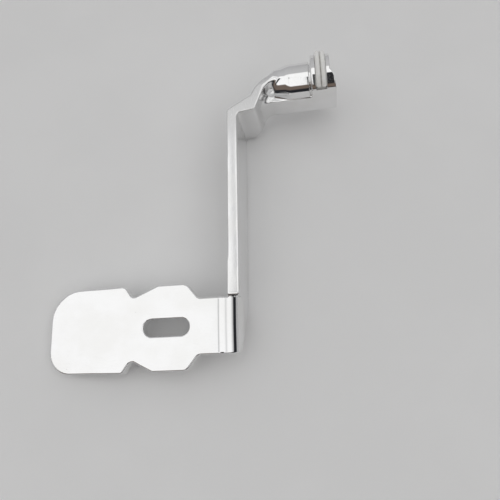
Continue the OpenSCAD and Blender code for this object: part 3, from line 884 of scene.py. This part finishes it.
def dress(piece, finish):
    """Gives a piece one finish all over."""
    piece.data.materials.clear()
    piece.data.materials.append(finish)


pedal = pedal_piece()
ring = ring_piece()
dress(pedal, chrome_finish())
dress(ring, nylon_finish())
bronze, rubber = bronze_finish(), rubber_finish()
for end in ("outboard", "inboard"):
    dress(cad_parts[end + "_bush"], bronze)
    dress(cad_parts[end + "_seal"], rubber)

stand_ins = ((pedal, "pedal_arm", "chromed_steel"), (ring, "nylon_ring", "ring_nylon"))
for piece, stands_for, finish_slot in stand_ins:
    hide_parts(stands_for)
    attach(piece, "root")


# The floor lies just under the toe, the arm's lower edge at the pad and the same edge at the double bend
FLOOR_GAP = 0.3
TOE_REST = np.array([toe_x + 4, pad_y, plate_z])
ARM_FRONT_REST = np.array([-ARM_OFFSET, slope_end_y, arm_front_z])
ARM_REAR_REST = np.array([face_x(-FIRST_BEND_Y), -FIRST_BEND_Y, arm_rear_z])
FLOOR_HALF = 3000.0


def floor_piece():
    """Square floor in the plane through the three places where the pedal rests."""
    across = ARM_FRONT_REST - TOE_REST
    back = ARM_REAR_REST - ARM_FRONT_REST
    normal = np.cross(across, back)
    normal *= math.copysign(1, normal[2]) / np.linalg.norm(normal)
    side = np.cross([0, 1, 0], normal)
    side /= np.linalg.norm(side)
    along = np.cross(normal, side)
    centre = ARM_FRONT_REST - normal * FLOOR_GAP
    turns = ((-1, -1), (1, -1), (1, 1), (-1, 1))
    corners = np.array([centre + FLOOR_HALF * (a * side + b * along) for a, b in turns])
    return as_mesh("floor", corners, np.array([[0, 1, 2, 3]]))


floor = floor_piece()
dress(floor, board_finish())


# Studio colours
ROOM_LOW, ROOM_HIGH = (0.44, 0.44, 0.445), (0.52, 0.52, 0.525)
PANEL_LIGHT = (1.05, 1.05, 1.045)
SCREEN_LOW, SCREEN_HIGH = (0.02, 0.021, 0.024), (0.16, 0.125, 0.105)
CARD_DARK = (0.025, 0.025, 0.027)
SEAM_GREY = (0.3, 0.3, 0.31)

# Studio edges, each from where it starts to where it ends: U and V are how far the way to a place leans to
# X and to Y as it rises by 1, and Z is its height on a ball of radius 1
PANEL_U, PANEL_U_END = (-1.1, -0.7), (1.3, 2.6)
PANEL_V, PANEL_V_END = (-1.7, -1.45), (0.46, 0.62)
CARD_U, CARD_U_END = (-0.0158, -0.0122), (0.3, 0.4)
CARD_V, CARD_V_END = (-1.4, -1.2), (-0.06, -0.015)
NEAR_V, NEAR_V_END = (-0.05, 0.0), (0.14, 0.18)
SCREEN_SIDE = (0.0, 0.2)
SCREEN_FOOT_Z = (-0.01, 0.03)
SCREEN_TOP_Z = (0.47, 0.53)
SCREEN_BROWN_Z = (0.31, 0.42)
ROOM_Z = (0.0, 0.8)
LOWEST_Z = 0.05

# The screens face this way in X and Y, and their top drops by the lean towards X and Y
SCREEN_WAY = (0.35, 0.94)
SCREEN_LEAN = 0.17


def studio_world():
    """Light from all round, the same for the camera and for what the chrome mirrors. A wide soft panel hangs
    overhead, a little in front, and is the brightest part. Dark screens stand in front and inboard, brown
    near their top, and give the chrome its dark bands. A dark card next to the camera darkens the front of
    the collars. Seams in the panel, each fading as exp(-gap squared), show as thin lines in flat chrome.
    The rest of the room is a plain pale grey."""
    world = bpy.data.worlds.new("studio")
    world.use_nodes = True
    tree = world.node_tree
    way = put(tree, "SeparateXYZ", {0: put(tree, "TexCoord").outputs["Generated"]})
    x, y, z = way.outputs
    up = calc(tree, "MAXIMUM", z, LOWEST_Z)
    u, v = calc(tree, "DIVIDE", x, up), calc(tree, "DIVIDE", y, up)
    panel = product(tree, step_up(tree, u, *PANEL_U), step_down(tree, u, *PANEL_U_END),
                    step_up(tree, v, *PANEL_V), step_down(tree, v, *PANEL_V_END))
    card = product(tree, step_up(tree, u, *CARD_U), step_down(tree, u, *CARD_U_END),
                   step_up(tree, v, *CARD_V), step_down(tree, v, *CARD_V_END))
    near = product(tree, panel, step_down(tree, v, *NEAR_V_END), step_up(tree, v, *NEAR_V))

    level = calc(tree, "SQRT", calc(tree, "SUBTRACT", 1.0001, calc(tree, "MULTIPLY", z, z)))
    across, ahead = [calc(tree, "MULTIPLY", c, share) for c, share in zip((x, y), SCREEN_WAY)]
    side = calc(tree, "DIVIDE", calc(tree, "SUBTRACT", across, ahead), level)
    lean = calc(tree, "DIVIDE", calc(tree, "ADD", x, y), level)
    height = calc(tree, "MULTIPLY_ADD", lean, SCREEN_LEAN, z)
    screens = product(tree, step_up(tree, side, *SCREEN_SIDE), step_up(tree, z, *SCREEN_FOOT_Z),
                      step_down(tree, height, *SCREEN_TOP_Z))

    room = blend(tree, step_up(tree, z, *ROOM_Z), ROOM_LOW, ROOM_HIGH)
    lit = blend(tree, panel, room, PANEL_LIGHT)
    dark = blend(tree, step_up(tree, z, *SCREEN_BROWN_Z), SCREEN_LOW, SCREEN_HIGH)
    lit = blend(tree, screens, lit, dark)
    lit = blend(tree, card, lit, CARD_DARK)
    seams = ((-0.2, 0.006, 0.6, panel), (-0.14, 0.06, 0.6, near), (0.6, 0.13, 0.35, panel))
    for place, width, depth, part in seams:
        gap = calc(tree, "DIVIDE", calc(tree, "SUBTRACT", u, place), width)
        seam = calc(tree, "POWER", 2.718, product(tree, gap, gap, -1.0))
        lit = blend(tree, product(tree, seam, part, depth), lit, SEAM_GREY)
    tree.links.new(lit, tree.nodes["Background"].inputs["Color"])
    bpy.context.scene.world = world


studio_world()

# The photograph's view: place and focal length in millimetres, turn in degrees
CAMERA_PLACE = (12.18, -269.15, 420.8)
CAMERA_TURN = (13.47315811, 9.99638083, -2.0)
FOCAL_L = 34.56
SENSOR_W = 36
lens = bpy.data.cameras.new("camera")
lens.sensor_width = SENSOR_W
lens.lens = FOCAL_L
lens.clip_start = 0.01
camera = bpy.data.objects.new("camera", lens)
camera.location = [c * MM for c in CAMERA_PLACE]
camera.rotation_euler = [math.radians(a) for a in CAMERA_TURN]
bpy.context.scene.collection.objects.link(camera)
bpy.context.scene.camera = camera

bpy.context.scene.view_settings.view_transform = "Standard"
